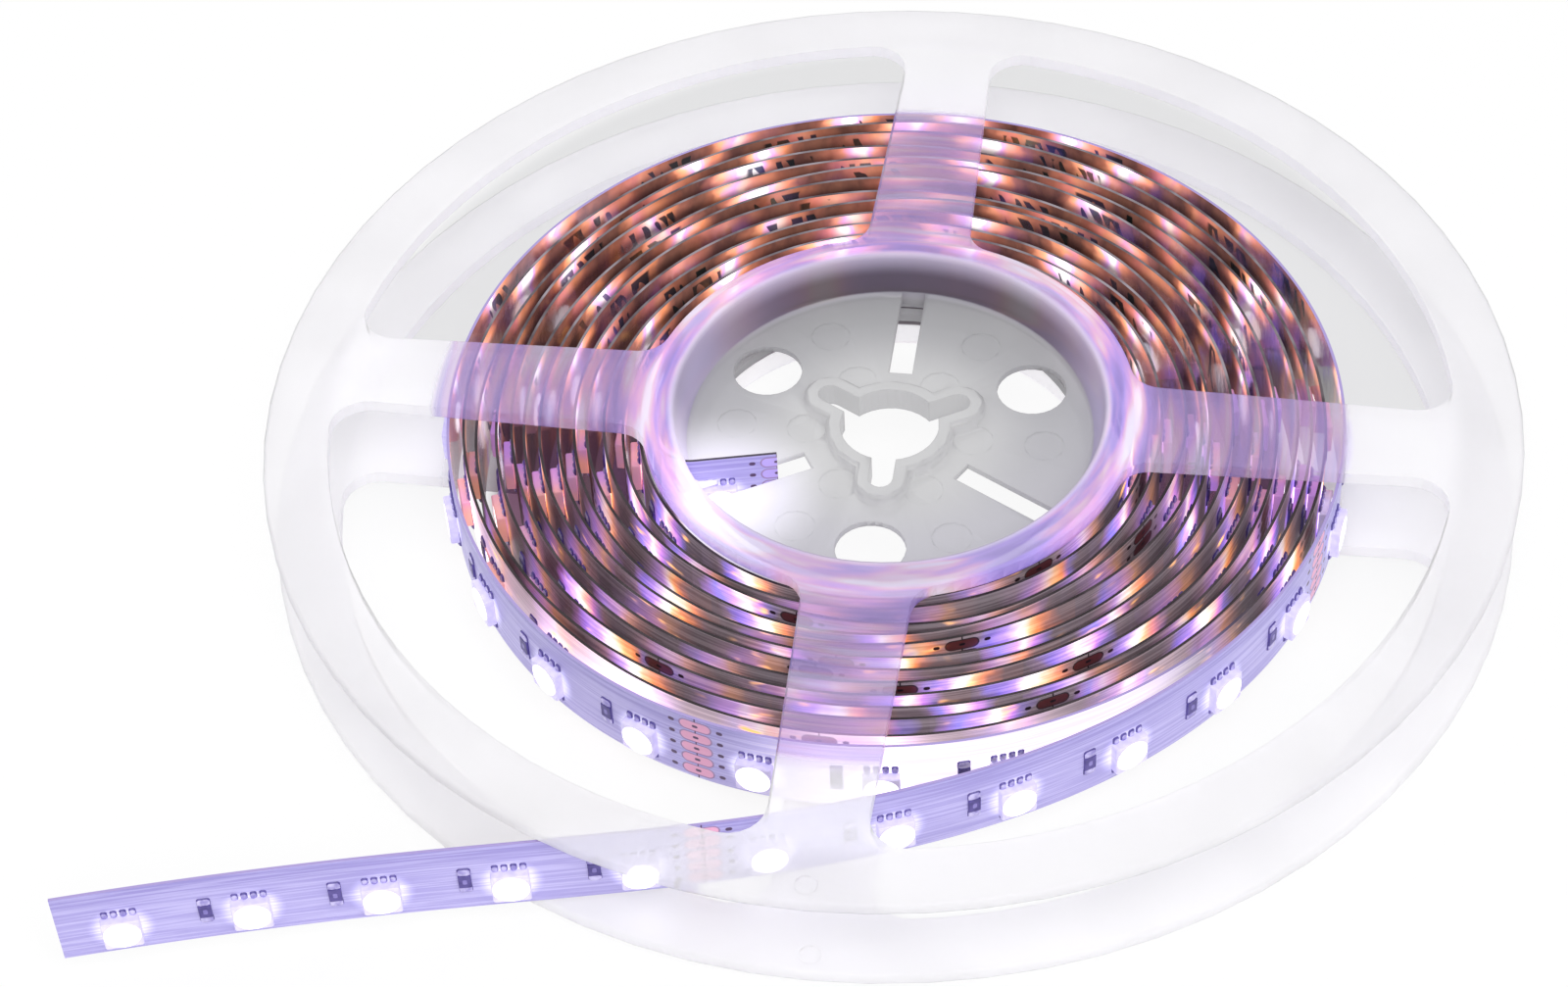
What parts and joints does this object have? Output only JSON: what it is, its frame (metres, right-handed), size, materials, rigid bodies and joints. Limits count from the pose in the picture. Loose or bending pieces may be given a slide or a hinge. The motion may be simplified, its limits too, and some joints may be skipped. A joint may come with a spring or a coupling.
{
  "type": "led strip light reel",
  "caption": "Flexible light strip wound on a milky two-piece plastic reel with spoked flanges and a keyed hub, its lit free end leaving between the flanges.",
  "frame": {"origin": "middle of the whole box, tail included, at the level of the lower collar the reel rests on", "axes": "+Z is the reel's axis, up through the upper flange; the spokes run along X and Y; the free end of the strip leaves towards -X and -Y"},
  "size_m": [0.1834, 0.1846, 0.018],
  "materials": {
    "reel_plastic": "milky translucent polypropylene, satin as moulded",
    "strip_laminate": "white solder resist over a flexible copper laminate, satin, with a tan backing liner",
    "light_package": "white moulded package with a clear resin lens, lit"
  },
  "bodies": {
    "root": {"upper_flange_half": "reel_plastic", "lower_flange_half": "reel_plastic", "wound_flexible_strip": "strip_laminate", "light_package_01": "light_package", "light_package_02": "light_package", "light_package_03": "light_package", "light_package_04": "light_package", "light_package_05": "light_package", "light_package_06": "light_package", "light_package_07": "light_package", "light_package_08": "light_package", "light_package_09": "light_package", "light_package_10": "light_package", "light_package_11": "light_package", "light_package_12": "light_package", "light_package_13": "light_package", "light_package_14": "light_package", "light_package_15": "light_package", "light_package_16": "light_package", "light_package_17": "light_package", "light_package_18": "light_package", "light_package_19": "light_package", "light_package_20": "light_package", "light_package_21": "light_package", "light_package_22": "light_package", "light_package_23": "light_package", "light_package_24": "light_package", "light_package_25": "light_package", "light_package_26": "light_package", "light_package_27": "light_package", "light_package_28": "light_package", "light_package_29": "light_package", "light_package_30": "light_package", "light_package_31": "light_package", "light_package_32": "light_package", "light_package_33": "light_package", "light_package_34": "light_package", "light_package_35": "light_package", "light_package_36": "light_package"}
  },
  "joints": []
}
